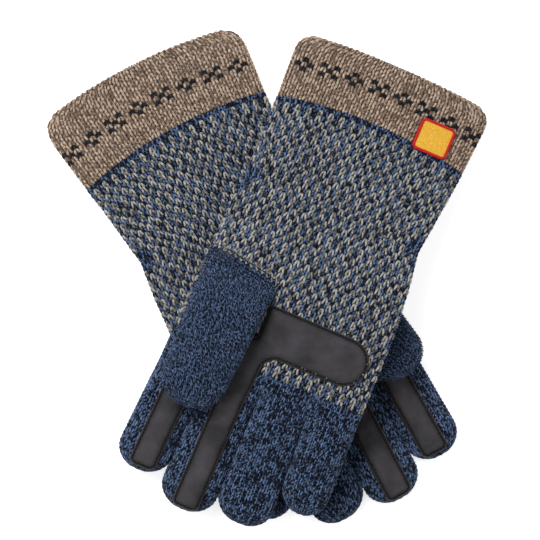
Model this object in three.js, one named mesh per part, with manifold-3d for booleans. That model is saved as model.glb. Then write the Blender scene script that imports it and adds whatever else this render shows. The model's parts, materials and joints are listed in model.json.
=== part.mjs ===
// A pair of lined knitted gloves laid palm up, the right one crossed over the left one.
// Each glove is drawn flat in its own frame: u runs across the hand to the thumb, v from the
// cuff to the fingertips and w up from the palm's underside. place() lays that frame down.
import * as THREE from "three";
import { mergeVertices } from "three/addons/utils/BufferGeometryUtils.js";
import Module from "manifold-3d";

// Driving dimensions, in millimetres.
const GAP = 0.4; // between pieces that touch
const SHELL_WALL = 1.8;
const LINING_WALL = 1.2;
const LINING_INSET = 2.3; // how far inside the shell's face the lining's face lies
const THUMB_LINING_INSET = 2.9;
const CUFF_WALL = 2.0;
const HEM_WALL = 1.5;
const HAND_THICK = 16; // the cuff and the palm; it thins evenly from the palm to the fingers
const FINGER_THICK = 14;
const SEAM_BOW = 6.6; // how far the ends of the cuff's seam lie behind its middle
const SEAM_AT = 29.8; // where the cuff joins the hand, at the middle
const CUFF_END = 42; // the cuff and its seam lie before this line, and the lining starts at it
const FLAT_FROM = 126; // the palm is one flat slope from here to the fingers
const HAND_END = 198.4; // the fork of the fingers
const KNUCKLE = 223; // the middle joint of the fingers
const LEATHER = 0.9;
const THREAD = 0.4;
const THREAD_WIDTH = 0.8;
const THREAD_INSET = 1.4;
const STRIP_HALF = 7.6; // half the width of a finger's leather strip

const FINGERS = {
  index: { low: 31.9, high: 61.0, belly: 15.2 },
  middle: { low: 0.3, high: 31.1, belly: 15.8 },
  ring: { low: -28.8, high: -0.5, belly: 15.6 },
  little: { low: -58.4, high: -29.6, belly: 12.4 },
};
const FINGER_CAP = 14.5; // how far back from the tip a finger begins to round
const THUMB = {
  root: 129, // the top of the thumb's mouth
  mouth: 30, // how much further along its underside begins
  middle: 36.5,
  half: 22.6,
  belly: 18.6,
  under: 1.9, // clearance of the thumb over the palm
  thick: 14.5,
  cap: 17,
  rise: 30, // length over which the hooded root reaches its full height
};
const THUMB_HOLE = { u: 39.5, v: 145, ru: 13, rv: 9.5 };

// A value that changes evenly between its stations, each one [position, value].
function between(stations, at) {
  const next = stations.findIndex(([p]) => p > at);
  if (next === 0) return stations[0][1];
  if (next < 0) return stations[stations.length - 1][1];
  const [p0, a] = stations[next - 1];
  const [p1, b] = stations[next];
  return a + ((b - a) * (at - p0)) / (p1 - p0);
}

const LITTLE_SIDE = [[0, 59.2], [35, 57.2], [57, 54.8], [86, 51.6], [110, 54.8], [140, 57.2], [198, 58.4]];
const THUMB_SIDE = [[0, 58.8], [35, 57.6], [80, 57.2], [126, 59.4], [198, 61.0]];

// The right glove rests on the left one, so its underside climbs from the table to the
// left thumb and falls again to the fingertips, and it leans over towards that thumb.
const CREST = 35.8;
const TIPS = CREST - 0.185 * (300 - FLAT_FROM);
const CLIMB = [[-8, 4.2], [CUFF_END, 12], [68, 21], [98, 30.5], [FLAT_FROM, CREST], [300, TIPS]];
const LEAN = [[-8, 0.07], [CUFF_END, 0.085], [68, 0.03], [98, -0.05], [FLAT_FROM, -0.095], [300, -0.095]];

const GLOVES = [
  {
    side: "left",
    origin: [-71.9, 105.8],
    turn: 29,
    mirror: -1,
    drape: () => 0,
    cuff: { front: -13.3, bow: 6.2, tilt: 0.042, flare: 3.6 },
    thumbTip: [51, 219],
    tips: { index: [46.2, 268], middle: [13.9, 278.6], ring: [-19.4, 273.5], little: [-51.5, 254] },
    split: { index: KNUCKLE, middle: 246 },
  },
  {
    side: "right",
    origin: [71.3, 110.4],
    turn: -23,
    mirror: 1,
    drape: (u, v) => between(CLIMB, v) + between(LEAN, v) * u,
    cuff: { front: -5.8, bow: 3.6, tilt: 0, flare: 0.8 },
    thumbTip: [38.5, 220.5],
    tips: { index: [48.3, 264.3], middle: [16.1, 275.3], ring: [-17, 270], little: [-46.3, 251.5] },
    split: { index: KNUCKLE, middle: KNUCKLE },
  },
];

const wasm = await Module();
wasm.setup();

const KNIT = { blue: 0x2f4160, jacquard: 0x59626f, taupe: 0x82705f, lining: 0x24262c };
const looks = {
  blue: { color: KNIT.blue, roughness: 0.95, metalness: 0 },
  jacquard: { color: KNIT.jacquard, roughness: 0.95, metalness: 0 },
  taupe: { color: KNIT.taupe, roughness: 0.95, metalness: 0 },
  lining: { color: KNIT.lining, roughness: 0.9, metalness: 0 },
  leather: { color: 0x2b292b, roughness: 0.5, metalness: 0 },
  thread: { color: 0x141416, roughness: 0.7, metalness: 0 },
  label: { color: 0xd9a21b, roughness: 0.8, metalness: 0 },
};

// Where a point of a glove's own frame lies in the pair.
function place(glove, u, v, w) {
  const turn = THREE.MathUtils.degToRad(glove.turn);
  const across = [-glove.mirror * Math.cos(turn), -glove.mirror * Math.sin(turn)];
  const along = [Math.sin(turn), -Math.cos(turn)];
  return [
    glove.origin[0] + across[0] * u + along[0] * v,
    glove.origin[1] + across[1] * u + along[1] * v,
    w + glove.drape(u, v),
  ];
}

// Merges a geometry's vertices, drops its flat triangles and turns its faces outwards.
function closed(geometry) {
  const bare = new THREE.BufferGeometry();
  bare.setAttribute("position", geometry.getAttribute("position"));
  bare.setIndex(geometry.index);
  const merged = mergeVertices(bare, 1e-4);
  const at = merged.getAttribute("position");
  const faces = [];
  let volume = 0;
  const [a, b, c] = [new THREE.Vector3(), new THREE.Vector3(), new THREE.Vector3()];
  const index = merged.index ? merged.index.array : Array.from({ length: at.count }, (_, i) => i);
  for (let i = 0; i < index.length; i += 3) {
    const [p, q, r] = index.slice(i, i + 3);
    if (p === q || q === r || p === r) continue;
    faces.push(p, q, r);
    a.fromBufferAttribute(at, p);
    b.fromBufferAttribute(at, q);
    c.fromBufferAttribute(at, r);
    volume += a.dot(b.cross(c));
  }
  merged.setIndex(volume < 0 ? faces.reverse() : faces);
  return merged;
}

function solidOf(geometry) {
  const vertProperties = geometry.getAttribute("position").array;
  return new wasm.Manifold(new wasm.Mesh({ numProp: 3, vertProperties, triVerts: geometry.index.array }));
}

// One piece's geometry with another one cut from it.
function cutFrom(geometry, tool) {
  const mesh = solidOf(geometry).subtract(solidOf(tool)).getMesh();
  const result = new THREE.BufferGeometry();
  result.setAttribute("position", new THREE.BufferAttribute(mesh.vertProperties, 3));
  result.setIndex(new THREE.BufferAttribute(mesh.triVerts, 1));
  return result;
}

// A lathe whose rings are bent to a glove's sections. Each ring is a function of the turn
// from 0 to 1 that gives [u, v, w]; a tube's last ring is its first, and a cap's is one point.
function lathed(glove, rings, sides) {
  const profile = rings.map((_, i) => new THREE.Vector2(1, i));
  const lathe = new THREE.LatheGeometry(profile, sides);
  const at = lathe.getAttribute("position");
  for (let side = 0; side <= sides; side += 1)
    rings.forEach((ring, i) => {
      at.setXYZ(side * rings.length + i, ...place(glove, ...ring((side % sides) / sides)));
    });
  return closed(lathe);
}

// A point round a flat section with round sides, starting at its side. The inset moves it
// straight in, so that the layers of a wall keep the same corners.
function roundFlat(turn, half, rise, inset) {
  const flat = Math.max(half - rise, 0);
  const round = (Math.PI * rise) / 2;
  const quarter = round + flat;
  const distance = (turn * 4) % 4;
  const part = (distance % 1) * quarter;
  const fromSide = Math.floor(distance) % 2 === 0 ? part : quarter - part;
  const angle = round > 0 ? Math.min(fromSide / round, 1) * (Math.PI / 2) : Math.PI / 2;
  const radius = Math.max(rise - inset, 0);
  const across = fromSide < round ? flat + radius * Math.cos(angle) : flat - (fromSide - round);
  const up = radius * Math.sin(angle);
  return [distance < 1 || distance >= 3 ? across : -across, distance < 2 ? up : -up];
}

// A ring with a flat round-sided section, at one distance along the glove.
function ringAt(middle, half, centre, rise, v, inset, bow = () => 0) {
  return (turn) => {
    const [across, up] = roundFlat(turn, half, rise, inset);
    return [middle + across, v + bow(middle + across), centre + up];
  };
}

function thickness(v) {
  return HAND_THICK - (Math.max(0, v - FLAT_FROM) * (HAND_THICK - FINGER_THICK)) / (KNUCKLE - FLAT_FROM);
}

// A ring of the hand's own outline, moved in by an inset. The cuff flares towards its mouth,
// and its corners are rounded by rings that are a little narrower.
function handRing(glove, v, inset, bow, narrow = 0) {
  const flare = glove.cuff.flare * Math.min(1, Math.max(0, 1 - v / CUFF_END));
  const low = -between(LITTLE_SIDE, v) - flare;
  const high = between(THUMB_SIDE, v) + flare;
  const rise = thickness(v) / 2;
  return ringAt((low + high) / 2, (high - low) / 2 - narrow, rise, rise, v, inset, bow);
}

function tube(glove, stations, wall, inset, sides, bows = [], narrow = []) {
  const wallRings = (depth) => stations.map((v, i) => handRing(glove, v, depth, bows[i], narrow[i]));
  const outer = wallRings(inset);
  return lathed(glove, [...outer, ...wallRings(inset + wall).reverse(), outer[0]], sides);
}

// How much narrower the cuff is at each distance from its mouth.
const CORNER = [[0, 5], [3, 2], [8, 0]];

const bowOf = (depth, tilt = 0) => (u) => depth * (u / 57.5) ** 2 + tilt * u;

function cuffPiece(glove, wall, inset) {
  const front = glove.cuff.front;
  const mouth = bowOf(glove.cuff.bow, glove.cuff.tilt);
  const stations = [front + inset, front + 3.5, front + 8, SEAM_AT - GAP];
  const bows = [mouth, mouth, mouth, bowOf(SEAM_BOW)];
  const narrow = stations.map((v) => between(CORNER, v - front));
  return tube(glove, stations, wall, inset, 20, bows, narrow);
}

function thumbHole(glove) {
  const drill = new THREE.CylinderGeometry(1, 1, 30, 12);
  drill.rotateX(Math.PI / 2);
  const at = drill.getAttribute("position");
  for (let i = 0; i < at.count; i += 1) {
    const u = THUMB_HOLE.u + THUMB_HOLE.ru * at.getX(i);
    const v = THUMB_HOLE.v + THUMB_HOLE.rv * at.getY(i);
    at.setXYZ(i, ...place(glove, u, v, HAND_THICK + 7 + at.getZ(i)));
  }
  return closed(drill);
}

function handPiece(glove, wall, inset, start) {
  const bows = start[0] === SEAM_AT ? [bowOf(SEAM_BOW)] : [];
  const stations = [...start, 68, 98, FLAT_FROM, 162, HAND_END];
  return cutFrom(tube(glove, stations, wall, inset, 24, bows), thumbHole(glove));
}

// Where a finger's middle lies, and its half width, at a distance along the glove.
function fingerAt(glove, name, v) {
  const { low, high, belly } = FINGERS[name];
  const [tipU, tipV] = glove.tips[name];
  const t = (v - HAND_END) / (tipV - HAND_END);
  const cap = Math.min(1, Math.max(0, (v - tipV + FINGER_CAP) / FINGER_CAP));
  return {
    middle: THREE.MathUtils.lerp((low + high) / 2, tipU, t),
    half: THREE.MathUtils.lerp((high - low) / 2, belly, t) * Math.sqrt(1 - cap * cap),
    shrink: Math.sqrt(1 - cap * cap),
  };
}

// The thickness that a finger keeps from its hinge to its tip.
function fingerTop(glove, name, v) {
  return thickness(Math.min(v, glove.split[name] ?? HAND_END));
}

function fingerRing(glove, name, v, inset) {
  const { middle, half, shrink } = fingerAt(glove, name, v);
  const top = fingerTop(glove, name, v);
  const rise = (top / 2) * Math.sqrt(shrink);
  return ringAt(middle, Math.max(half, rise), top / 2, rise, v, inset);
}

function tipPoint(glove, name, inset) {
  const [tipU, tipV] = glove.tips[name];
  return () => [tipU, tipV - inset, fingerTop(glove, name, tipV) / 2];
}

// An open piece of a finger between two lines.
function fingerTube(glove, name, from, to, wall, inset, sides) {
  const outer = [from, to].map((v) => fingerRing(glove, name, v, inset));
  const inner = [to, from].map((v) => fingerRing(glove, name, v, inset + wall));
  return lathed(glove, [...outer, ...inner, outer[0]], sides);
}

// A finger's closed end, open at a line.
function fingerEnd(glove, name, from, wall, inset, sides) {
  const wallRings = (depth) => {
    const capFrom = glove.tips[name][1] - FINGER_CAP;
    const cap = [0, 0.55, 0.85].map((part) => capFrom + part * (FINGER_CAP - depth));
    return [from, ...cap].map((v) => fingerRing(glove, name, v, depth));
  };
  const outer = [...wallRings(inset), tipPoint(glove, name, inset)];
  const inner = [tipPoint(glove, name, inset + wall), ...wallRings(inset + wall).reverse()];
  return lathed(glove, [...outer, ...inner, outer[0]], sides);
}

// A ring of the thumb, part of the way from its hooded mouth to its tip. Its mouth lies flat
// on the palm, so the ring leans: its top is nearer the cuff than its underside.
function thumbRing(glove, part, inset) {
  const [tipU, tipV] = glove.thumbTip;
  const palm = thickness(THUMB.root) + GAP;
  const topFrom = THUMB.root + 2.6 * inset;
  const underFrom = THUMB.root + THUMB.mouth - inset;
  const tip = tipV - inset;
  const capPart = Math.min(1, Math.max(0, 1 - ((1 - part) * (tip - THUMB.root)) / THUMB.cap));
  const shrink = Math.sqrt(1 - capPart * capPart);
  const swell = THREE.MathUtils.smoothstep(part * (tip - topFrom), 0, THUMB.rise - 2 * inset);
  const lift = Math.min(1, part / 0.08);
  const bottom = palm + (THUMB.under + inset) * lift;
  const top = palm + 0.01 + (THUMB.under + THUMB.thick - inset) * swell;
  const centre = (palm + THUMB.under + palm + THUMB.under + THUMB.thick) / 2;
  const half = Math.max(THREE.MathUtils.lerp(THUMB.half, THUMB.belly, part) * shrink - inset, 0);
  const middle = THREE.MathUtils.lerp(THUMB.middle, tipU, part);
  return (turn) => {
    const angle = turn * 2 * Math.PI;
    const across = Math.sign(Math.cos(angle)) * Math.abs(Math.cos(angle)) ** 0.7;
    const up = Math.sign(Math.sin(angle)) * Math.abs(Math.sin(angle)) ** 0.7;
    const from = THREE.MathUtils.lerp(underFrom, topFrom, (up + 1) / 2);
    const flatEnd = (top + bottom) / 2 + (up * (top - bottom)) / 2;
    const w = part === 0 ? palm : THREE.MathUtils.lerp(centre, flatEnd, shrink);
    return [middle + across * half, THREE.MathUtils.lerp(from, tip, part), w];
  };
}

function thumbPiece(glove, wall, inset, sides) {
  const [tipU, tipV] = glove.thumbTip;
  const parts = [0, 0.08, 0.18, 0.34, 0.8, 0.9, 0.965];
  const centre = thickness(THUMB.root) + GAP + THUMB.under + THUMB.thick / 2;
  const end = (depth) => () => [tipU, tipV - depth, centre];
  const outer = parts.map((part) => thumbRing(glove, part, inset));
  const inner = parts.map((part) => thumbRing(glove, part, inset + wall)).reverse();
  return lathed(glove, [...outer, end(inset), end(inset + wall), ...inner, outer[0]], sides);
}

// A flat shape drawn in u and v, laid on the palm at a height above it.
function laid(glove, shape, height, depth, surface) {
  const sheet = new THREE.ExtrudeGeometry(shape, { depth, bevelEnabled: false, curveSegments: 4 });
  const at = sheet.getAttribute("position");
  for (let i = 0; i < at.count; i += 1) {
    const [u, v] = [at.getX(i), at.getY(i)];
    at.setXYZ(i, ...place(glove, u, v, surface(u, v) + height + at.getZ(i)));
  }
  return closed(sheet);
}

const PALM_BAND = { low: -50.5, high: 13, from: 147, to: 175, fillet: 5 };
const PALM_STRIP = { low: 5.6, high: 21, from: 167 };

// The palm band with its round end and the strip that runs down the middle finger.
function palmOutline(inset, end) {
  const { low, high, from, to, fillet } = PALM_BAND;
  const radius = (to - from) / 2;
  const middle = (from + to) / 2;
  const stripLow = PALM_STRIP.low + inset;
  const stripHigh = PALM_STRIP.high - inset;
  const edge = to - inset;
  const shape = new THREE.Path();
  shape.moveTo(high - inset, from + inset);
  shape.lineTo(low + radius, from + inset);
  shape.absarc(low + radius, middle, radius - inset, -Math.PI / 2, Math.PI / 2, true);
  shape.absarc(stripLow - fillet, edge + fillet, fillet, -Math.PI / 2, 0, false);
  shape.lineTo(stripLow, end - inset);
  shape.lineTo(stripHigh, end - inset);
  shape.lineTo(stripHigh, PALM_STRIP.from + 3);
  shape.lineTo(high - inset, PALM_STRIP.from);
  return shape.getPoints(4).reverse();
}

function ringShape(outline) {
  const shape = new THREE.Shape(outline(THREAD_INSET));
  shape.holes.push(new THREE.Path(outline(THREAD_INSET + THREAD_WIDTH)));
  return shape;
}

// The finger's upper surface, which its leather lies on.
function fingerSurface(glove, name) {
  return (u, v) => {
    const { middle, half, shrink } = fingerAt(glove, name, v);
    const top = fingerTop(glove, name, v);
    const rise = (top / 2) * Math.sqrt(shrink);
    const past = Math.max(0, Math.abs(u - middle) - Math.max(half - rise, 0)) / rise;
    return top / 2 + rise * Math.sqrt(Math.max(0, 1 - past * past));
  };
}

// The lines across a finger's strip: where it starts, where the finger begins to round, and its end.
function stripStations(glove, name, from) {
  const tipV = glove.tips[name][1];
  return [from, ...[0, 0.55, 0.8].map((part) => tipV + (part - 1) * FINGER_CAP)];
}

function stripLeather(glove, name, stations) {
  const surface = fingerSurface(glove, name);
  const box = new THREE.BoxGeometry(2, stations.length - 1, 1, 2, stations.length - 1, 1);
  box.translate(0, (stations.length - 1) / 2, 0.5);
  const at = box.getAttribute("position");
  for (let i = 0; i < at.count; i += 1) {
    const v = stations[Math.round(at.getY(i))];
    const { middle, shrink } = fingerAt(glove, name, v);
    const u = middle + at.getX(i) * STRIP_HALF * shrink;
    at.setXYZ(i, ...place(glove, u, v, surface(u, v) + GAP + at.getZ(i) * LEATHER));
  }
  return closed(box);
}

function stripOutline(glove, name, stations) {
  return (inset) => {
    const rows = stations.map((v, i) => {
      const end = i === stations.length - 1;
      const shift = i === 0 ? inset : end ? -inset : 0;
      const { middle, shrink } = fingerAt(glove, name, v);
      return [middle, STRIP_HALF * shrink - inset, v + shift];
    });
    const right = rows.map(([u, half, v]) => new THREE.Vector2(u + half, v));
    const left = rows.map(([u, half, v]) => new THREE.Vector2(u - half, v)).reverse();
    return [...right, ...left];
  };
}

const LABEL = { u: -34.4, v: 24, across: 10.5, along: 9.5, corner: 2.8 };

function labelOutline(inset) {
  const { u, v, across, along, corner } = LABEL;
  const [a, b, r] = [across - inset, along - inset, Math.max(corner - inset, 0.5)];
  const shape = new THREE.Path();
  shape.moveTo(u - a + r, v - b);
  shape.absarc(u + a - r, v - b + r, r, -Math.PI / 2, 0, false);
  shape.absarc(u + a - r, v + b - r, r, 0, Math.PI / 2, false);
  shape.absarc(u - a + r, v + b - r, r, Math.PI / 2, Math.PI, false);
  shape.absarc(u - a + r, v - b + r, r, Math.PI, 1.5 * Math.PI, false);
  return shape.getPoints(3);
}

const pair = new THREE.Group();

function add(glove, name, geometry, look) {
  const mesh = new THREE.Mesh(geometry, new THREE.MeshStandardMaterial(looks[look]));
  mesh.name = `${glove.side}_${name}`;
  pair.add(mesh);
}

// A leather strip on a finger, with its line of stitching.
function addStrip(glove, name, piece, stations) {
  const surface = fingerSurface(glove, name);
  const outline = stripOutline(glove, name, stations);
  const onLeather = 2 * GAP + LEATHER;
  add(glove, `${piece}_leather`, stripLeather(glove, name, stations), "leather");
  add(glove, `${piece}_thread`, laid(glove, ringShape(outline), onLeather, THREAD, surface), "thread");
}

function addFinger(glove, name) {
  const hinge = glove.split[name];
  if (!hinge) {
    add(glove, `${name}_shell`, fingerEnd(glove, name, HAND_END + GAP, SHELL_WALL, 0, 12), "blue");
    const lining = fingerEnd(glove, name, HAND_END + GAP, LINING_WALL, LINING_INSET, 12);
    add(glove, `${name}_lining`, lining, "lining");
    return;
  }
  const [from, to] = [HAND_END + GAP, hinge - GAP / 2];
  const baseLining = fingerTube(glove, name, from, to, LINING_WALL, LINING_INSET, 12);
  const tip = hinge + GAP / 2;
  add(glove, `${name}_base_shell`, fingerTube(glove, name, from, to, SHELL_WALL, 0, 12), "blue");
  add(glove, `${name}_base_lining`, baseLining, "lining");
  add(glove, `${name}_tip_shell`, fingerEnd(glove, name, tip, SHELL_WALL, 0, 12), "blue");
  add(glove, `${name}_tip_lining`, fingerEnd(glove, name, tip, LINING_WALL, LINING_INSET, 12), "lining");
  addStrip(glove, name, `${name}_tip`, stripStations(glove, name, tip));
}

function addPalmLeather(glove) {
  const end = glove.split.middle - GAP / 2;
  const palm = (u, v) => thickness(v);
  const onLeather = 2 * GAP + LEATHER;
  const sheet = new THREE.Shape(palmOutline(0, end));
  const seam = ringShape((inset) => palmOutline(inset, end));
  add(glove, "palm_leather", laid(glove, sheet, GAP, LEATHER, palm), "leather");
  add(glove, "palm_thread", laid(glove, seam, onLeather, THREAD, palm), "thread");
}

for (const glove of GLOVES) {
  add(glove, "cuff_band", cuffPiece(glove, CUFF_WALL, 0), "taupe");
  add(glove, "cuff_hem", cuffPiece(glove, HEM_WALL, CUFF_WALL + GAP), "taupe");
  add(glove, "hand_shell", handPiece(glove, SHELL_WALL, 0, [SEAM_AT, CUFF_END]), "jacquard");
  add(glove, "hand_lining", handPiece(glove, LINING_WALL, LINING_INSET, [CUFF_END]), "lining");
  add(glove, "thumb_shell", thumbPiece(glove, SHELL_WALL, 0, 12), "blue");
  add(glove, "thumb_lining", thumbPiece(glove, LINING_WALL, THUMB_LINING_INSET, 12), "lining");
  Object.keys(FINGERS).forEach((name) => addFinger(glove, name));
  addPalmLeather(glove);
  addStrip(glove, "index", "index_base", [204, glove.split.index - GAP / 2]);
}

const right = GLOVES[1];
const cuffTop = () => HAND_THICK;
const border = new THREE.Shape(labelOutline(0));
border.holes.push(new THREE.Path(labelOutline(1.6)));
add(right, "label_cloth", laid(right, new THREE.Shape(labelOutline(0.2)), GAP, 0.6, cuffTop), "label");
add(right, "label_border", laid(right, border, 2 * GAP + 0.6, 0.5, cuffTop), "thread");

// The origin is under the middle of the pair, on the table.
const middle = new THREE.Box3().setFromObject(pair).getCenter(new THREE.Vector3());
pair.position.set(-middle.x, -middle.y, 0);

export default pair;
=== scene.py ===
"""A pair of knitted, fleece-lined gloves lying palm up, the right one crossed over the left.

Each glove is drawn in its own frame, in millimetres: u runs across the hand to the thumb,
v from the cuff to the fingertips, and w up from the back of the hand. Glove.place() lays
that frame on the table. The knitting is real stitches, set out in courses and wales.
"""
import json
import math

import bpy
import numpy as np
from mathutils.geometry import delaunay_2d_cdt
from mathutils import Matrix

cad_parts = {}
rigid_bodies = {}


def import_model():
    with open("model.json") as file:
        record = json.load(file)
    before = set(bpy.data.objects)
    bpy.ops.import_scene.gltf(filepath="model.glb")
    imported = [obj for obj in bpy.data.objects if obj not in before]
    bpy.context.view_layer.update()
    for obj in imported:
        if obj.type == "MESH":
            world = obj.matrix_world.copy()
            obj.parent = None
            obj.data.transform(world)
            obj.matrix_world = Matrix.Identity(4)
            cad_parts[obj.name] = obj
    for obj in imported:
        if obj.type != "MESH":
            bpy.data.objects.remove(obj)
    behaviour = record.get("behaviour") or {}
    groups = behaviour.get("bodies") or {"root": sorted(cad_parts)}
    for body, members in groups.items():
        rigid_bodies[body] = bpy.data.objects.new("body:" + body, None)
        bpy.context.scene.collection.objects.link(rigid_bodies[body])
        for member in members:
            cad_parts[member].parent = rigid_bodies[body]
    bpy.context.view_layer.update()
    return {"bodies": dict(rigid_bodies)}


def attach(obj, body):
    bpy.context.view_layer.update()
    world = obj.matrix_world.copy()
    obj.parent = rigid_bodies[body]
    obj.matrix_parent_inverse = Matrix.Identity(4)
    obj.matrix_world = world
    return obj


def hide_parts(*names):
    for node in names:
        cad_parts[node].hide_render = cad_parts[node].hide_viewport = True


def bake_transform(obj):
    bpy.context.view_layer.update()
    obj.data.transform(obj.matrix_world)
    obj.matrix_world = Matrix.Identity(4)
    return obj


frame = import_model()

MM = 0.001
SEED = 7

# ---------------------------------------------------------------- the gloves' plan
HAND_THICK = 16.0
FINGER_THICK = 14.0
FLAT_FROM = 126.0
FORK = 198.4  # the fork of the fingers
KNUCKLE = 223.0
CUFF_END = 42.0
SEAM_AT = 29.6
SEAM_BOW = 6.6
BOW_WIDTH = 57.5
PATTERN_END = 184.2  # the last course of the two-coloured hand
FINGER_CAP = 14.5
LITTLE_SIDE = [[0, 59.2], [35, 57.2], [57, 54.8], [86, 51.6], [110, 54.8], [140, 57.2], [198, 58.4]]
THUMB_SIDE = [[0, 58.8], [35, 57.6], [80, 57.2], [126, 59.4], [198, 61.0]]
CUFF_HALF = 60.0
CORNER = [[0, 7.0], [1, 4.2], [3.5, 1.7], [6, 0.5], [9, 0]]  # how the cuff narrows at its mouth
FINGERS = {
    "index": {"low": 31.2, "high": 61.0, "belly": 16.3},
    "middle": {"low": -0.4, "high": 31.8, "belly": 16.8},
    "ring": {"low": -29.5, "high": 0.2, "belly": 17.0},
    "little": {"low": -58.4, "high": -28.9, "belly": 13.8},
}
THUMB = {
    "root": 129.0,
    "mouth": 9.0,
    "middle": 36.5,
    "half": 22.6,
    "belly": 18.6,
    "under": 1.9,
    "thick": 14.5,
    "cap": 17.0,
    "rise": 30.0,
    "gap": 0.4,
    "slant": 3.5,  # its root starts nearer the cuff at the outer side
    "corner": 3.0,
    "lifted": 0.08,  # its underside leaves the palm over this part of its length
    "settled": 0.35,  # beyond this part of its length it no longer follows the palm's round side
}
CREST = 35.8
FALL = 0.185  # the right palm's slope from its crest to the fingertips
END = 300.0
CLIMB = [  # the right palm's height at places along the hand, and LEAN is its slope across
    [-8, 4.2], [42, 12], [68, 21], [98, 30.5], [FLAT_FROM, CREST],
    [END, CREST - FALL * (END - FLAT_FROM)],
]
LEAN = [[-8, 0.07], [42, 0.085], [68, 0.03], [98, -0.05], [FLAT_FROM, -0.095], [END, -0.095]]


def along(stations, at):
    places, values = zip(*stations)
    return np.interp(at, places, values)


def running(points):
    """How far along a line each of its points lies."""
    return np.concatenate([[0], np.cumsum(np.linalg.norm(np.diff(points, axis=0), axis=1))])


def unit(rows):
    return rows / np.maximum(np.linalg.norm(rows, axis=1, keepdims=True), 1e-12)


def smooth(low, high, at):
    part = np.clip((np.asarray(at, float) - low) / (high - low), 0, 1)
    return part * part * (3 - 2 * part)


def thickness(v):
    thinning = (HAND_THICK - FINGER_THICK) / (KNUCKLE - FLAT_FROM)
    return HAND_THICK - np.maximum(0, np.asarray(v, float) - FLAT_FROM) * thinning


class Glove:
    """One glove: where it lies, how it is draped and where its fingertips are."""

    def __init__(self, side, origin, turn, mirror, draped, cuff, thumb_tip, tips, splits):
        self.side = side
        self.origin = origin
        self.mirror = mirror
        self.draped = draped
        self.cuff = cuff
        self.thumb_tip = thumb_tip
        self.tips = tips
        self.splits = splits
        angle = math.radians(turn)
        self.across = (-mirror * math.cos(angle), -mirror * math.sin(angle))
        self.down = (math.sin(angle), -math.cos(angle))

    def drape(self, u, v):
        if not self.draped:
            return 0.0 * u
        return along(CLIMB, v) + along(LEAN, v) * u

    def place(self, points):
        """Points [u, v, w] of the glove, in millimetres, as points of the pair in metres."""
        u, v, w = np.moveaxis(np.asarray(points, float), -1, 0)
        x = self.origin[0] + self.across[0] * u + self.down[0] * v
        y = self.origin[1] + self.across[1] * u + self.down[1] * v
        return np.stack([x, y, w + self.drape(u, v)], -1) * MM

    def hinge(self, name):
        return self.splits.get(name, FORK)

    def finger(self, name, v):
        """A finger's middle, half width and roundness at v."""
        plan = FINGERS[name]
        tip_u, tip_v = self.tips[name]
        part = (v - FORK) / (tip_v - FORK)
        cap = np.clip((v - tip_v + FINGER_CAP) / FINGER_CAP, 0, 1)
        shrink = np.sqrt(np.maximum(1 - cap * cap, 0))
        middle = (plan["low"] + plan["high"]) / 2 * (1 - part) + tip_u * part
        half = (plan["high"] - plan["low"]) / 2 * (1 - part) + plan["belly"] * part
        return middle, half * shrink, shrink

    def name(self, piece):
        return f"{self.side}_{piece}"


GLOVES = [
    Glove(
        "left", (-70.134, 109.901), 29, -1, False,
        {"front": -13.3, "bow": 6.2, "tilt": 0.042, "flare": 3.6}, (51, 219),
        {"index": (46.2, 268), "middle": (13.9, 278.6), "ring": (-19.4, 273.5), "little": (-51.5, 254)},
        {"index": KNUCKLE, "middle": 246.0},
    ),
    Glove(
        "right", (73.066, 114.501), -23, 1, True,
        {"front": -5.8, "bow": 3.6, "tilt": 0.0, "flare": 0.8}, (38.5, 220.5),
        {"index": (48.3, 264.3), "middle": (16.1, 275.3), "ring": (-17, 270), "little": (-46.3, 251.5)},
        {"index": KNUCKLE, "middle": KNUCKLE},
    ),
]

# ---------------------------------------------------------------- surfaces of the cloth
PILLOW = 3.2  # how square the sections are: 2 is an ellipse
ARC_STEPS = 160
TIP_THINS = 0.6  # how a fingertip's thickness follows its roundness
LEAST = 0.05  # the least half width or height of a section


class Section:
    """A puffed flat section: half a loop from one side (a = -1) over the top to the other (a = 1)."""

    def __init__(self, middle, half, rise, centre):
        self.middle = middle
        self.centre = centre
        turn = np.linspace(-math.pi / 2, math.pi / 2, ARC_STEPS)
        self.x = half * np.sign(turn) * np.abs(np.sin(turn)) ** (2 / PILLOW)
        self.z = rise * np.cos(turn)
        self.arc = running(np.stack([self.x, self.z], 1))
        self.length = self.arc[-1]

    def at(self, a, top):
        """The point [u, w] at each a, on the palm's side or the back's."""
        return self.from_arc((np.asarray(a) + 1) / 2 * self.length, top)

    def from_arc(self, arc, top):
        x = np.interp(arc, self.arc, self.x)
        z = np.interp(arc, self.arc, self.z)
        return self.middle + x, self.centre + (z if top else -z)

    def arc_at(self, u):
        return np.interp(u - self.middle, self.x, self.arc)


def puff(x, half, rise):
    return rise * np.sqrt(np.maximum(1 - np.abs(x / half) ** PILLOW, 0))


def sides(glove, v):
    """The hand's two sides at v. The cuff flares towards its mouth."""
    flare = glove.cuff["flare"] * np.clip(1 - np.asarray(v, float) / CUFF_END, 0, 1)
    return -along(LITTLE_SIDE, v) - flare, along(THUMB_SIDE, v) + flare


def palm_height(glove, u, v):
    """How high the palm's side of the hand lies above its back."""
    low, high = sides(glove, v)
    rise = thickness(v) / 2
    return rise + puff(u - (low + high) / 2, (high - low) / 2, rise)


def hand_section(glove, v, inset):
    low, high = sides(glove, v)
    rise = thickness(v) / 2
    return Section((low + high) / 2, (high - low) / 2 - inset, rise - inset, rise)


def finger_section(glove, name, v, inset):
    middle, half, shrink = glove.finger(name, v)
    top = thickness(min(v, glove.hinge(name)))
    rise = top / 2 * shrink ** TIP_THINS
    return Section(middle, max(half - inset, LEAST), max(rise - inset, LEAST), top / 2)


def bow(depth, u):
    return depth * (u / BOW_WIDTH) ** 2


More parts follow.
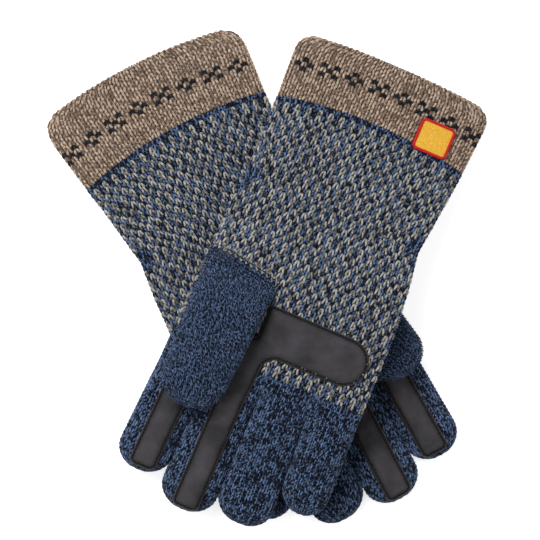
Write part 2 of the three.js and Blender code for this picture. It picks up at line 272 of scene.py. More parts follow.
def hand_point(glove, a, v, top, inset):
    u, w = hand_section(glove, v, inset).at(a, top)
    fade = 1 - smooth(SEAM_AT, FLAT_FROM, v)
    return np.stack([u, v + bow(SEAM_BOW, u) * fade, w], -1)


def cuff_point(glove, a, v, top, inset):
    """A point of the cuff, whose mouth is bowed and tilted, and whose corners are round."""
    front = glove.cuff["front"]
    part = np.clip((v - front) / (SEAM_AT - front), 0, 1)
    u, w = hand_section(glove, v, inset).at(a, top)
    u = u * (1 - along(CORNER, v - front) / CUFF_HALF)
    shift = bow(glove.cuff["bow"], u) + glove.cuff["tilt"] * u
    return np.stack([u, v + shift + (bow(SEAM_BOW, u) - shift) * part, w], -1)


ROOT_FROM = 188.0  # where the furrows between the fingers begin
ROOT_TO = 214.0
ROOT_LAP = 0.5  # a finger's root reaches this far past its own width
ROOT_WRAP = 9.0  # and the outer fingers' roots reach this far round the hand's sides


def finger_point(glove, name, a, v, top, inset):
    own_u, own_w = finger_section(glove, name, v, inset).at(a, top)
    part = smooth(ROOT_FROM, ROOT_TO, v)
    if part >= 1:
        return np.stack([own_u, np.full_like(own_u, v), own_w], -1)
    hand = hand_section(glove, v, inset)
    low = hand.arc_at(FINGERS[name]["low"] - (ROOT_WRAP if name == "little" else ROOT_LAP))
    high = hand.arc_at(FINGERS[name]["high"] + (ROOT_WRAP if name == "index" else ROOT_LAP))
    u, w = hand.from_arc(low + (high - low) * (np.asarray(a) + 1) / 2, top)
    u = u + (own_u - u) * part
    w = w + (own_w - w) * part
    return np.stack([u, np.full_like(u, v), w], -1)


RING_STEPS = 720
RING_SQUARE = 0.7  # 1 is an ellipse
RING_WIDE = 20.0
RING_HIGH = 8.0


def thumb_ring():
    """A squarish ring round the thumb, at even steps of its own length."""
    angle = np.linspace(0, 2 * math.pi, RING_STEPS + 1)
    x, z = [np.sign(wave) * np.abs(wave) ** RING_SQUARE for wave in (np.cos(angle), np.sin(angle))]
    run = running(np.stack([x * RING_WIDE, z * RING_HIGH], 1))
    return run / run[-1], x, z


THUMB_RING = thumb_ring()


def thumb_point(glove, turn, part, inset):
    """Turn goes round the thumb once, from its outer side over its top."""
    tip_u, tip_v = glove.thumb_tip
    palm = thickness(THUMB["root"]) + THUMB["gap"]
    tip = tip_v - inset
    cap = np.clip(1 - (1 - part) * (tip - THUMB["root"]) / THUMB["cap"], 0, 1)
    shrink = math.sqrt(max(1 - cap * cap, 0))
    swell = smooth(0, THUMB["rise"], part * (tip - THUMB["root"]))
    lift = min(1, part / THUMB["lifted"])
    bottom = palm + (THUMB["under"] + inset) * lift
    top = palm + (THUMB["under"] + THUMB["thick"] - inset) * swell
    centre = palm + THUMB["under"] + THUMB["thick"] / 2
    half = (THUMB["half"] + (THUMB["belly"] - THUMB["half"]) * part) * shrink - inset
    middle = THUMB["middle"] + (tip_u - THUMB["middle"]) * part
    turn = np.asarray(turn) % 1
    x, z = [np.interp(turn, THUMB_RING[0], values) for values in THUMB_RING[1:]]
    start = THUMB["root"] - THUMB["slant"] * x + THUMB["mouth"] * np.clip(-z, 0, 1)
    start += THUMB["corner"] * x ** 8
    flat = (top + bottom) / 2 + z * (top - bottom) / 2
    u = middle + x * max(half, LEAST)
    fall = thickness(THUMB["root"]) - palm_height(glove, u, THUMB["root"])
    w = centre + (flat - centre) * shrink - fall * (1 - smooth(0, THUMB["settled"], part))
    return np.stack([u, start + (tip - start) * part, w], -1)


# ---------------------------------------------------------------- meshes
def new_object(name, data):
    piece = bpy.data.objects.new(name, data)
    bpy.context.scene.collection.objects.link(piece)
    return piece


def mesh_object(name, points, faces, material=None):
    mesh = bpy.data.meshes.new(name)
    mesh.from_pydata([tuple(p) for p in points], [], [tuple(f) for f in faces])
    mesh.update()
    if material:
        mesh.materials.append(material)
    mesh.polygons.foreach_set("use_smooth", [True] * len(mesh.polygons))
    return new_object(name, mesh)


def set_attribute(mesh, name, values):
    """A number or a vector on each of a mesh's points."""
    values = np.asarray(values, float)
    kind, key = ("FLOAT", "value") if values.ndim == 1 else ("FLOAT_VECTOR", "vector")
    mesh.attributes.new(name, kind, "POINT").data.foreach_set(key, values.ravel())


def set_map(mesh, name, places):
    """A UV map, from the place of each of a mesh's points."""
    corners = np.zeros(len(mesh.loops), int)
    mesh.loops.foreach_get("vertex_index", corners)
    mesh.uv_layers.new(name=name).data.foreach_set("uv", np.asarray(places, float)[corners].ravel())


def outwards(points, faces):
    """Turns all faces of one closed surface round, if it is inside out."""
    points = np.asarray(points, float)
    volume = 0.0
    for face in faces:
        a = points[face[0]]
        for second, third in zip(face[1:], face[2:]):
            volume += np.dot(a, np.cross(points[second], points[third]))
    return faces if volume > 0 else [tuple(reversed(f)) for f in faces]


def skin(rings, joined=False):
    """Points and faces of a tube through rings of equal length, each one a closed loop."""
    count = len(rings[0])
    faces = []
    for row in range(len(rings) if joined else len(rings) - 1):
        here, there = row * count, (row + 1) % len(rings) * count
        for i in range(count):
            j = (i + 1) % count
            faces.append((here + i, here + j, there + j, there + i))
    return np.concatenate(rings), faces


def tipped_skin(rings):
    """A tube whose last ring is closed to one point."""
    points, faces = skin(rings)
    count, tip = len(rings[0]), len(points)
    last = tip - count
    faces += [(last + i, last + (i + 1) % count, tip) for i in range(count)]
    return np.concatenate([points, rings[-1].mean(0)[None]]), faces


def capped(outer, inner):
    """A closed-ended wall: each skin ends in one point, and a rim joins their open ends."""
    points, faces = tipped_skin(outer)
    inner_points, inner_faces = tipped_skin(inner)
    base, count = len(points), len(outer[0])
    faces += [tuple(base + k for k in reversed(face)) for face in inner_faces]
    faces += [(i, base + i, base + (i + 1) % count, (i + 1) % count) for i in range(count)]
    return np.concatenate([points, inner_points]), faces


def cloth(glove, name, outer, inner, material, closed_end=False):
    """A wall of cloth between an outer and an inner skin. The first rings are its open end."""
    points, faces = capped(outer, inner) if closed_end else skin(outer + inner[::-1], joined=True)
    placed = glove.place(points)
    return mesh_object(glove.name(name), placed, outwards(placed, faces), material)


def loop_of(point, count):
    """A whole ring from a half section: over the palm's side and back under it."""
    step = np.linspace(-1, 1, count + 1)
    over = point(step[:-1], True)
    under = point(step[::-1][:-1], False)
    return np.concatenate([over, under])


# ---------------------------------------------------------------- node helpers
def node_tree(kind, name, inputs, outputs):
    tree = bpy.data.node_groups.new(name, kind)
    for socket_name, socket_type, value in inputs:
        socket = tree.interface.new_socket(socket_name, in_out="INPUT", socket_type=socket_type)
        if value is not None:
            socket.default_value = value
    for socket_name, socket_type in outputs:
        tree.interface.new_socket(socket_name, in_out="OUTPUT", socket_type=socket_type)
    return tree


class Nodes:
    """Adds nodes to a tree, linking each input that is given a socket and setting the others."""

    def __init__(self, tree):
        self.tree = tree

    def add(self, kind, inputs=None, **settings):
        node = self.tree.nodes.new(kind)
        for key, value in settings.items():
            setattr(node, key, value)
        for key, value in (inputs or {}).items():
            if isinstance(value, bpy.types.NodeSocket):
                self.tree.links.new(value, node.inputs[key])
            else:
                node.inputs[key].default_value = value
        return node

    def math(self, operation, first, second=0.0):
        return self.add("ShaderNodeMath", {0: first, 1: second}, operation=operation).outputs[0]

    def plus(self, first, second):
        return self.math("ADD", first, second)

    def times(self, first, second):
        return self.math("MULTIPLY", first, second)

    def wave(self, turns):
        return self.math("SINE", self.times(turns, 2 * math.pi))

    def mix(self, factor, first, second):
        node = self.add("ShaderNodeMix", {"Factor": factor, 6: first, 7: second}, data_type="RGBA")
        return node.outputs[2]

    def noise(self, vector, scale, detail=2.0, roughness=0.5):
        wanted = {"Vector": vector, "Scale": scale, "Detail": detail, "Roughness": roughness}
        return self.add("ShaderNodeTexNoise", wanted).outputs["Fac"]

    def ramp(self, factor, low, high):
        wanted = {"Value": factor, "From Min": low, "From Max": high}
        return self.add("ShaderNodeMapRange", wanted, clamp=True).outputs["Result"]

    def place(self):
        return self.add("ShaderNodeTexCoord").outputs["Object"]

    def attribute(self, name, output="Fac"):
        return self.add("ShaderNodeAttribute", attribute_name=name).outputs[output]

    def parts(self, vector):
        return self.add("ShaderNodeSeparateXYZ", {"Vector": vector}).outputs

    def strand(self):
        """Where a place lies on its strand: X along it and Y round it."""
        return self.parts(self.add("ShaderNodeUVMap", uv_map="strand").outputs["UV"])


class Principled(Nodes):
    """The nodes of a new material with one principled shader."""

    def __init__(self, name, sockets):
        self.material = bpy.data.materials.new(name)
        self.material.use_nodes = True
        self.material.node_tree.nodes.clear()
        super().__init__(self.material.node_tree)
        self.shader = self.add("ShaderNodeBsdfPrincipled", sockets)
        self.add("ShaderNodeOutputMaterial", {"Surface": self.shader.outputs[0]})

    def done(self, links, height, strength, distance):
        """Links sockets and a bump to the shader, and gives the material."""
        bump = self.add("ShaderNodeBump", {"Height": height, "Strength": strength, "Distance": distance})
        for key, value in {**links, "Normal": bump.outputs[0]}.items():
            self.tree.links.new(value, self.shader.inputs[key])
        return self.material


# ---------------------------------------------------------------- materials
def srgb(red, green, blue):
    """A colour from its 0 to 255 values, as the linear values that shaders take."""
    def linear(value):
        value /= 255
        return value / 12.92 if value <= 0.04045 else ((value + 0.055) / 1.055) ** 2.4
    return (linear(red), linear(green), linear(blue), 1.0)


# Each yarn is a dark ply, a light ply and the light ply's share.
BLUE_YARN = (srgb(5, 9, 21), srgb(98, 122, 162), 0.27)
GREY_YARN = (srgb(72, 72, 75), srgb(166, 163, 156), 0.58)
TAUPE_YARN = (srgb(94, 77, 65), srgb(184, 162, 143), 0.5)
MOTIF_YARN = (srgb(12, 14, 18), srgb(38, 41, 48), 0.35)
TWIST = 0.45  # turns of the plies along one leg of a stitch


def marl_group():
    """Two-ply wool: a light and a dark ply twist round each other, with loose fibres."""
    dark, light, share = BLUE_YARN
    inputs = [
        ("Dark", "NodeSocketColor", dark), ("Light", "NodeSocketColor", light),
        ("Light share", "NodeSocketFloat", share), ("Twist", "NodeSocketFloat", TWIST),
        ("Luck", "NodeSocketFloat", 0.0),
    ]
    outputs = [("Color", "NodeSocketColor"), ("Height", "NodeSocketFloat")]
    tree = node_tree("ShaderNodeTree", "two ply wool", inputs, outputs)
    n = Nodes(tree)
    given = n.add("NodeGroupInput").outputs
    strand, place = n.strand(), n.place()
    turns = n.plus(n.times(strand["X"], given["Twist"]), n.times(strand["Y"], 0.8))
    turns = n.plus(turns, n.times(given["Luck"], 7.0))
    wave = n.wave(n.plus(turns, n.times(n.noise(place, 420.0), 1.5)))
    lean = n.math("SUBTRACT", n.times(given["Light share"], 2.0), 1.0)
    fleck = n.times(n.math("SUBTRACT", n.noise(place, 760.0, 2.0, 0.6), 0.5), 4.5)
    mask = n.ramp(n.plus(n.plus(wave, lean), fleck), -0.9, 1.3)
    colour = n.mix(mask, given["Dark"], given["Light"])
    height = n.plus(n.times(wave, 0.5), n.noise(place, 5200.0, 2.0, 0.7))
    n.add("NodeGroupOutput", {"Color": colour, "Height": height})
    return tree


MARL = marl_group()


def wool(name, ground, pattern):
    """Wool in two yarns, chosen for each stitch by its yarn attribute."""
    n = Principled(name, {
        "Roughness": 0.92, "Sheen Weight": 0.08, "Sheen Roughness": 0.45, "Specular IOR Level": 0.15,
    })
    luck = n.attribute("luck")
    plies = []
    for dark, light, share in (ground, pattern):
        wanted = {"Dark": dark, "Light": light, "Light share": share, "Twist": TWIST, "Luck": luck}
        plies.append(n.add("ShaderNodeGroup", wanted, node_tree=MARL).outputs)
    colour = n.mix(n.attribute("yarn"), plies[0]["Color"], plies[1]["Color"])
    return n.done({"Base Color": colour}, plies[0]["Height"], 0.5, 0.00025)


def gap_shade_material(name, dark, light, scale):
    """The ground of loops between the stitches, in painted shade: coloured darker than its yarn, for the
    shade in the gaps.
    """
    n = Principled(name, {"Roughness": 1.0, "Specular IOR Level": 0.1})
    fleck = n.noise(n.place(), scale, 3.0, 0.6)
    return n.done({"Base Color": n.mix(n.ramp(fleck, 0.4, 0.62), dark, light)}, fleck, 0.6, 0.0005)


def fleece_material():
    n = Principled("brushed fleece", {"Roughness": 1.0, "Sheen Weight": 0.5, "Specular IOR Level": 0.1})
    place = n.place()
    tuft, patch = n.noise(place, 700.0, 4.0, 0.7), n.noise(place, 90.0)
    colour = n.mix(n.ramp(tuft, 0.35, 0.65), srgb(14, 16, 22), srgb(44, 48, 58))
    return n.done({"Base Color": colour}, n.plus(tuft, patch), 0.9, 0.0008)


def leather_material():
    """Smooth black leather: fine pores, a soft cloudiness, painted shade towards its edges and a bare brown
    cut edge.
    """
    n = Principled("satin leather", {"Specular IOR Level": 0.3})
    place = n.place()
    pores = n.add("ShaderNodeTexVoronoi", {"Vector": place, "Scale": 1900.0}, feature="DISTANCE_TO_EDGE")
    grain = n.ramp(pores.outputs["Distance"], 0.0, 0.22)
    cloud = n.noise(place, 60.0, 3.0, 0.55)
    fine = n.noise(place, 2600.0, 2.0, 0.6)
    rim = n.attribute("rim")
    tone = n.mix(n.ramp(cloud, 0.3, 0.7), srgb(38, 36, 40), srgb(72, 69, 74))
    # Painted shade: the leather darkens towards its edges, where the padded sheet rolls away from the light
    # and dips to its seam.
    tone = n.mix(n.times(n.attribute("edge"), 0.85), tone, srgb(14, 13, 15))
    tone = n.mix(n.times(n.math("SUBTRACT", 1.0, grain), 0.35), tone, srgb(14, 13, 14))
    colour = n.mix(rim, tone, srgb(84, 70, 58))
    rough = n.plus(n.plus(0.40, n.times(fine, 0.16)), n.times(rim, 0.3))
    height = n.plus(n.plus(n.times(grain, 0.6), n.times(fine, 0.5)), n.times(cloud, 9.0))
    return n.done({"Base Color": colour, "Roughness": rough}, height, 0.8, 0.0003)


def thread_material(name, dark, light, ridges):
    """Twisted sewing thread."""
    n = Principled(name, {"Roughness": 0.8, "Specular IOR Level": 0.2})
    strand = n.strand()
    wave = n.wave(n.plus(n.times(strand["X"], ridges), strand["Y"]))
    return n.done({"Base Color": n.mix(n.ramp(wave, -1.0, 1.0), dark, light)}, wave, 0.4, 0.0001)


WARP_PITCH = 0.55  # of the ribbon's weave, in millimetres
WEFT_PITCH = 0.4


def ribbon_material(name, dark, light):
    """A woven ribbon: fine weft ribs crossed by the warp."""
    n = Principled(name, {"Roughness": 0.6, "Sheen Weight": 0.15})
    weave = n.parts(n.attribute("weave", "Vector"))
    warp = n.math("SINE", n.times(weave["X"], 2 * math.pi / WARP_PITCH))
    weft = n.math("SINE", n.times(weave["Y"], 2 * math.pi / WEFT_PITCH))
    lattice = n.times(warp, weft)
    tone = n.plus(n.times(lattice, 0.3), n.noise(n.place(), 900.0))
    return n.done({"Base Color": n.mix(n.ramp(tone, 0.2, 0.8), dark, light)}, lattice, 0.5, 0.00015)


JACQUARD = wool("jacquard wool", BLUE_YARN, GREY_YARN)
PLAIN = wool("blue marl wool", BLUE_YARN, GREY_YARN)
TAUPE = wool("fine taupe wool", TAUPE_YARN, MOTIF_YARN)
# Painted shade: the cloth under the stitches is coloured darker than the yarns, for the shade that fills
# the gaps between them.
BLUE_GAP_SHADE = gap_shade_material("loops behind the blue knit", srgb(6, 9, 18), srgb(22, 30, 52), 600.0)
TAUPE_GAP_SHADE = gap_shade_material("loops behind the taupe knit", srgb(46, 38, 30), srgb(86, 72, 58), 900.0)
FLEECE = fleece_material()
LEATHER = leather_material()
SEWING = thread_material("black sewing thread", srgb(4, 4, 5), srgb(16, 15, 16), 5.0)
RIBBON = ribbon_material("ochre ribbon", srgb(196, 140, 14), srgb(238, 186, 44))
OVERLOCK = thread_material("red overlock thread", srgb(150, 16, 22), srgb(212, 40, 42), 3.0)

# ---------------------------------------------------------------- stitches
# The legs of a stitch run from foot to tip. Each point is across, along, up, half width.
LEG = [
    (0.40, 0.66, -0.34, 0.10),
    (0.35, 0.36, 0.08, 0.20),
    (0.26, -0.02, 0.20, 0.225),
    (0.15, -0.36, 0.12, 0.20),
    (0.03, -0.66, -0.26, 0.10),
]
CUFF_LEG = [  # the cuff's stitches are upright, so they stand in narrow columns
    (0.33, 0.66, -0.30, 0.12),
    (0.28, 0.24, 0.12, 0.225),
    (0.22, -0.22, 0.14, 0.225),
    (0.12, -0.66, -0.24, 0.12),
]
DASH_LEG = [(0, 0.5, -0.4, 0.16), (0, 0.22, 0.2, 0.42), (0, -0.22, 0.2, 0.42), (0, -0.5, -0.4, 0.16)]
OVERLOCK_LEG = [
    (-0.9, 0.05, -0.3, 0.2), (-0.4, 0.0, 0.42, 0.26),
    (0.4, 0.0, 0.42, 0.26), (0.9, -0.05, -0.3, 0.2),
]
LEG_APART = 7.3  # the two legs of a stitch lie this far apart on the yarn, so they differ in tone


def strand_form(name, legs, sides=4):
    """One repeated stitch: a few bent tubes with closed ends, and where each point lies on its strand."""
    points, faces, strand = [], [], []
    for number, leg in enumerate(legs):
        base = len(points)
        last = len(leg) - 1
        spine = np.array([p[:3] for p in leg], float)
        for k, radius in enumerate(p[3] for p in leg):
            ahead = spine[min(k + 1, last)] - spine[max(k - 1, 0)]
            ahead /= np.linalg.norm(ahead)
            side = np.cross(ahead, (0, 0, 1))
            side /= np.linalg.norm(side)
            up = np.cross(side, ahead)
            for i in range(sides):
                angle = 2 * math.pi * (i - 0.5) / sides
                points.append(tuple(spine[k] + radius * (math.cos(angle) * side + math.sin(angle) * up)))
                strand.append((k / last + number * LEG_APART, i / sides))
        for k in range(last):
            low, high = base + k * sides, base + (k + 1) * sides
            for i in range(sides):
                j = (i + 1) % sides
                faces.append((low + i, low + j, high + j, high + i))
        faces.append(tuple(base + i for i in reversed(range(sides))))
        faces.append(tuple(base + last * sides + i for i in range(sides)))
    form = mesh_object(name, points, outwards(points, faces))
    set_map(form.data, "strand", strand)
    set_attribute(form.data, "local", points)
    return form


def mirrored(leg):
    return [(-x, y, z, radius) for x, y, z, radius in leg]


def sewn_tree():
    """Sets a form on every point, turned to the cloth and sized by its attributes."""
    inputs = [
        ("Geometry", "NodeSocketGeometry", None), ("Form", "NodeSocketObject", None),
        ("Material", "NodeSocketMaterial", None), ("Size gain", "NodeSocketFloat", 1.0),
        ("Wobble", "NodeSocketFloat", 0.1), ("Seed", "NodeSocketInt", SEED),
    ]
    tree = node_tree("GeometryNodeTree", "stitches on cloth", inputs, [("Geometry", "NodeSocketGeometry")])
    n = Nodes(tree)
    given = n.add("NodeGroupInput").outputs

    def named(name):
        return n.add("GeometryNodeInputNamedAttribute", {"Name": name}, data_type="FLOAT_VECTOR").outputs[0]

    axes = {"Primary Axis": named("lift"), "Secondary Axis": named("wale")}
    turn = n.add("FunctionNodeAxesToRotation", axes, primary_axis="Z", secondary_axis="Y").outputs[0]
    form = n.add("GeometryNodeObjectInfo", {"Object": given["Form"]}).outputs["Geometry"]
    cloth_points = n.add("GeometryNodeMeshToPoints", {"Mesh": given["Geometry"]}).outputs[0]
    wanted = {"Vector": named("size"), "Scale": given["Size gain"]}
    size = n.add("ShaderNodeVectorMath", wanted, operation="SCALE").outputs["Vector"]
    placed = n.add("GeometryNodeInstanceOnPoints", {
        "Points": cloth_points, "Instance": form, "Rotation": turn, "Scale": size,
    }).outputs[0]
    swing = n.add("FunctionNodeRandomValue", {"Seed": given["Seed"]}, data_type="FLOAT_VECTOR")
    swing.inputs[0].default_value = (-1, -1, -1)
    swing.inputs[1].default_value = (1, 1, 1)
    wanted = {0: swing.outputs[0], "Scale": given["Wobble"]}
    swing = n.add("ShaderNodeVectorMath", wanted, operation="SCALE")
    swing = n.add("FunctionNodeEulerToRotation", {0: swing.outputs["Vector"]}).outputs[0]
    loose = n.add("GeometryNodeRotateInstances", {"Instances": placed, "Rotation": swing}).outputs[0]
    real = n.add("GeometryNodeRealizeInstances", {"Geometry": loose}).outputs[0]
    painted = n.add("GeometryNodeSetMaterial", {"Geometry": real, "Material": given["Material"]})
    n.add("NodeGroupOutput", {"Geometry": painted.outputs[0]})
    return tree


SEWN = sewn_tree()
STITCH = strand_form("stitch_form", [LEG, mirrored(LEG)])
ROUND_STITCH = strand_form("round_stitch_form", [LEG, mirrored(LEG)], 6)
CUFF_STITCH = strand_form("cuff_stitch_form", [CUFF_LEG, mirrored(CUFF_LEG)], 5)
DASH = strand_form("dash_form", [DASH_LEG])
OVERLOCK_FORM = strand_form("overlock_form", [OVERLOCK_LEG])


def set_out(name, stitches, form, material, wobble=0.07):
    """Turns a list of stitches into one plain mesh, with its flat map for later paint."""
    cloth_points = bpy.data.meshes.new(name + "_points")
    cloth_points.from_pydata([tuple(p) for p in stitches.pop("at")], [], [])
    for key, values in stitches.items():
        set_attribute(cloth_points, key, values)
    holder = new_object(name + "_points", cloth_points)
    modifier = holder.modifiers.new("stitches", "NODES")
    modifier.node_group = SEWN
    settings = {"Form": form, "Material": material, "Size gain": 1.0, "Wobble": wobble, "Seed": SEED}
    for socket in SEWN.interface.items_tree:
        if socket.name in settings:
            modifier[socket.identifier] = settings[socket.name]
    bpy.context.view_layer.update()
    evaluated = holder.evaluated_get(bpy.context.evaluated_depsgraph_get())
    mesh = bpy.data.meshes.new_from_object(evaluated)
    mesh.name = name
    bpy.data.objects.remove(holder)
    flat_map(mesh)
    mesh.polygons.foreach_set("use_smooth", [True] * len(mesh.polygons))
    return new_object(name, mesh)


def plan_of(mesh, key):
    values = np.zeros(len(mesh.vertices) * 3)
    mesh.attributes[key].data.foreach_get("vector", values)
    return values.reshape(-1, 3)[:, :2]


def flat_map(mesh):
    """A second map on which each stitch keeps its place on the flattened cloth."""
    flat = plan_of(mesh, "flat") + plan_of(mesh, "local") * plan_of(mesh, "size")
    low, high = flat.min(0), flat.max(0)
    set_map(mesh, "OFBake", (flat - low) / (high - low).max() * 0.98 + 0.01)
    for key in ("flat", "local", "size", "lift", "wale"):
        if key in mesh.attributes:
            mesh.attributes.remove(mesh.attributes[key])


NUDGE = 0.02  # the step across the cloth that a stitch's width is measured by
DEPTH = 1.3  # a stitch stands at most this many times its length high


class Knitting:
    """Collects stitches course by course."""

    def __init__(self, glove):
        self.glove = glove
        self.rows = []
        self.draw = np.random.default_rng(SEED + len(glove.side))

    def add(self, at, lift, ahead, size, flat, yarn):
        """Stitches at places in metres. flat is where each lies on the flattened cloth, in millimetres."""
        self.rows.append({
            "at": at, "lift": unit(lift), "wale": unit(ahead), "size": size,
            "flat": np.column_stack([*flat, np.zeros(len(at))]) * MM,
            "yarn": yarn, "luck": self.draw.random(len(at)),
        })

    def course(self, surface, a, v, step, yarn, wide, flat, grow, flip):
        """One course of stitches at a across the cloth. surface(a, v) gives points [u, v, w], and
        flat is (span, shift): the flattened cloth's width for one unit of a, and where it starts."""
        def at(a, v):
            return self.glove.place(surface(a, v))
        ahead = at(a, v + step) - at(a, v - step)
        side = at(a + NUDGE, v) - at(a - NUDGE, v)
        width = np.linalg.norm(side, axis=1) / (2 * NUDGE) * wide
        length = np.linalg.norm(ahead, axis=1) / 2
        size = np.stack([width, length, np.minimum(width, length * DEPTH)], 1) * grow
        places = (a * flat[0] + flat[1], np.full(len(a), v))
        self.add(at(a, v), np.cross(side, ahead) * flip, ahead, size, places, yarn)

    def done(self):
        return {key: np.concatenate([row[key] for row in self.rows]) for key in self.rows[0]}


STITCH_INSET = 1.0  # the middle of the yarn lies this far inside the glove's outline
CLOTH_SKINS = (1.55, 2.7)  # how far inside the outline the two skins of a wall lie
CUFF_SKINS = (1.55, 3.1)
FLEECE_SKINS = (3.1, 4.4)
HAND_FLEECE_SKINS = (4.5, 5.8)
RING_PITCH = 3.0
HAND_SIDE = 40  # points on each side of a ring
FINGER_SIDE = 14
LINING_SIDE = 10
THUMB_ROUND = 48  # points in a ring of the thumb


def stations(point, start, stop, pitch):
    """Places from start to stop that lie one pitch apart on the cloth. point(v) is on its middle line."""
    dense = np.linspace(start, stop, 400)
    run = running([point(v) for v in dense])
    count = max(2, round(run[-1] / pitch))
    return np.interp(np.linspace(0, run[-1], count), run, dense)


def wales(count):
    return -1 + (2 * np.arange(count) + 1) / count


def facing(glove, top):
    """Which way a cross product points out of the glove, on the palm's side or the back's."""
    return glove.mirror * (1 if top else -1)


def skins(glove, point, places, count, insets):
    """The rings of a wall's skins, one skin for each inset."""
    def ring(v, inset):
        return loop_of(lambda a, top: point(glove, a, v, top, inset), count)
    return [[ring(v, inset) for v in places] for inset in insets]


def fleece(glove, name, outer, inner, closed_end=False):
    """Fleece has a lumpy pile, so its inner skin wanders."""
    draw = np.random.default_rng(SEED)
    inner = [ring + draw.normal(0, 0.16, ring.shape) for ring in inner]
    return cloth(glove, name, outer, inner, FLEECE, closed_end)


# ---------------------------------------------------------------- the hand
HAND_WALES = 36  # on each side of the hand
HAND_COURSE = 3.3
HAND_FLAT = 62  # half the flattened width of one side
FLEECE_FROM = 14.0  # the fleece starts this far inside the mouth
SHIFTS = (0, 0, 1, 0, 1, 1, 0, 1)  # whether a course has its grey stitches on the even or the odd wales
GREY_GROWS = (1.0, 1.12, 1.2)  # the grey stitches stand out: across, along, up
BLUE_GROWS = (1.0, 1.08, 0.85)
DART = {"from": 72.0, "to": 98.0, "deep": 10.0, "ragged": 5.0}  # the plain wedge at each side of the wrist


def in_dart(glove, u, v, draw):
    low, high = sides(glove, v)
    middle = (DART["from"] + DART["to"]) / 2
    part = max(1 - abs(v - middle) / (DART["to"] - middle), 0)
    edge = np.minimum(u - low, high - u) + draw.uniform(0, DART["ragged"], len(u))
    return edge < (DART["deep"] + DART["ragged"] / 2) * part


def knit_hand(glove, top):
    knitting = Knitting(glove)
    a = wales(HAND_WALES)
    surface = lambda x, y: hand_point(glove, x, y, top, STITCH_INSET)
    courses = round((PATTERN_END - SEAM_AT) / HAND_COURSE)
    flat, flip = (HAND_FLAT, 0), facing(glove, top)
    for row in range(courses):
        v = SEAM_AT + (row + 0.5) * HAND_COURSE
        grey = (np.arange(HAND_WALES) + SHIFTS[(courses - 1 - row) % len(SHIFTS)]) % 2 == 0
        grey &= row > 0
        grey &= ~in_dart(glove, surface(a, v)[:, 0], v, knitting.draw)
        grow = np.where(grey[:, None], GREY_GROWS, BLUE_GROWS)
        knitting.course(surface, a, v, HAND_COURSE, grey * 1.0, 2 / HAND_WALES, flat, grow, flip)
    name = glove.name("palm_knit" if top else "back_knit")
    return set_out(name, knitting.done(), ROUND_STITCH, JACQUARD, wobble=0.1)


def hand_cloth(glove):
    places = np.arange(SEAM_AT + 0.4, PATTERN_END + 2, RING_PITCH)
    return cloth(glove, "hand_cloth", *skins(glove, hand_point, places, HAND_SIDE, CLOTH_SKINS), BLUE_GAP_SHADE)


def hand_fleece(glove):
    places = np.arange(glove.cuff["front"] + FLEECE_FROM, PATTERN_END, RING_PITCH)
    return fleece(glove, "hand_fleece", *skins(glove, hand_point, places, HAND_SIDE, HAND_FLEECE_SKINS))


# ---------------------------------------------------------------- the cuff
CUFF_WALES = 32  # on each side of the cuff
CUFF_COURSE = 2.6
CUFF_GROWS = (1.0, 1.12, 0.62)
CUFF_BACK = 130  # where the back of the cuff lies on the flattened cloth
LIP = 1.5  # radius of the fold at the mouth
TURNED_IN = 7.0
MOTIF_FROM = 6  # courses between the hand and the dark motifs
MOTIFS = ["X.X..X..", ".X..X.X.", "X.X..X.."]


def cuff_lip_point(glove, a, v, top, inset):
    """The cuff's cloth, which turns in round the mouth and runs back inside it."""
    edge = glove.cuff["front"] + LIP
    if v >= edge:
        return cuff_point(glove, a, v, top, inset)
    run = edge - v
    angle = min(run / LIP, math.pi)
    back = max(run - math.pi * LIP, 0)
    inset += LIP * (1 - math.cos(angle))
    return cuff_point(glove, a, edge - LIP * math.sin(angle) + back, top, inset)


def motif(row, count):
    line = MOTIFS[row] if 0 <= row < len(MOTIFS) else "." * len(MOTIFS[0])
    return np.array([line[i % len(line)] == "X" for i in range(count)])


def knit_cuff(glove):
    knitting = Knitting(glove)
    a = wales(CUFF_WALES)
    first = glove.cuff["front"] + LIP - math.pi * LIP - TURNED_IN
    courses = int((SEAM_AT - first) / CUFF_COURSE)
    for top in (True, False):
        surface = lambda x, y: cuff_lip_point(glove, x, y, top, STITCH_INSET)
        flat, flip = (HAND_FLAT, 0 if top else CUFF_BACK), facing(glove, top)
        for row in range(courses):
            v = SEAM_AT - (row + 0.5) * CUFF_COURSE
            dark = motif(row - MOTIF_FROM, CUFF_WALES * 2) * 1.0
            dark = dark[:CUFF_WALES] if top else dark[CUFF_WALES:][::-1]
            knitting.course(surface, a, v, CUFF_COURSE, dark, 2 / CUFF_WALES, flat, CUFF_GROWS, flip)
    return set_out(glove.name("cuff_knit"), knitting.done(), CUFF_STITCH, TAUPE, wobble=0.05)


def cuff_cloth(glove):
    places = [*np.arange(glove.cuff["front"] + 1.2, SEAM_AT, RING_PITCH), SEAM_AT + 0.4]
    return cloth(glove, "cuff_cloth", *skins(glove, cuff_point, places, HAND_SIDE, CUFF_SKINS), TAUPE_GAP_SHADE)


# ---------------------------------------------------------------- fingers and thumb
FINGER_WALES = 12  # on each side of a finger
FINGER_COURSE = 2.2
FINGER_FLAT = 18
FINGER_BACK = 42
PLAIN_GROWS = (1.04, 1.3, 1.0)
TIP_LEFT = 0.24  # how far before the tip the last course lies
THUMB_WALES = 30  # all round the thumb
THUMB_FLAT = 104
THUMB_TIP = 0.998  # the part of the thumb's length that its courses cover


def finger_stations(glove, name, start, pitch):
    middle = np.array([0.0])
    line = lambda v: finger_point(glove, name, middle, v, True, STITCH_INSET)[0]
    return stations(line, start, glove.tips[name][1] - TIP_LEFT, pitch)


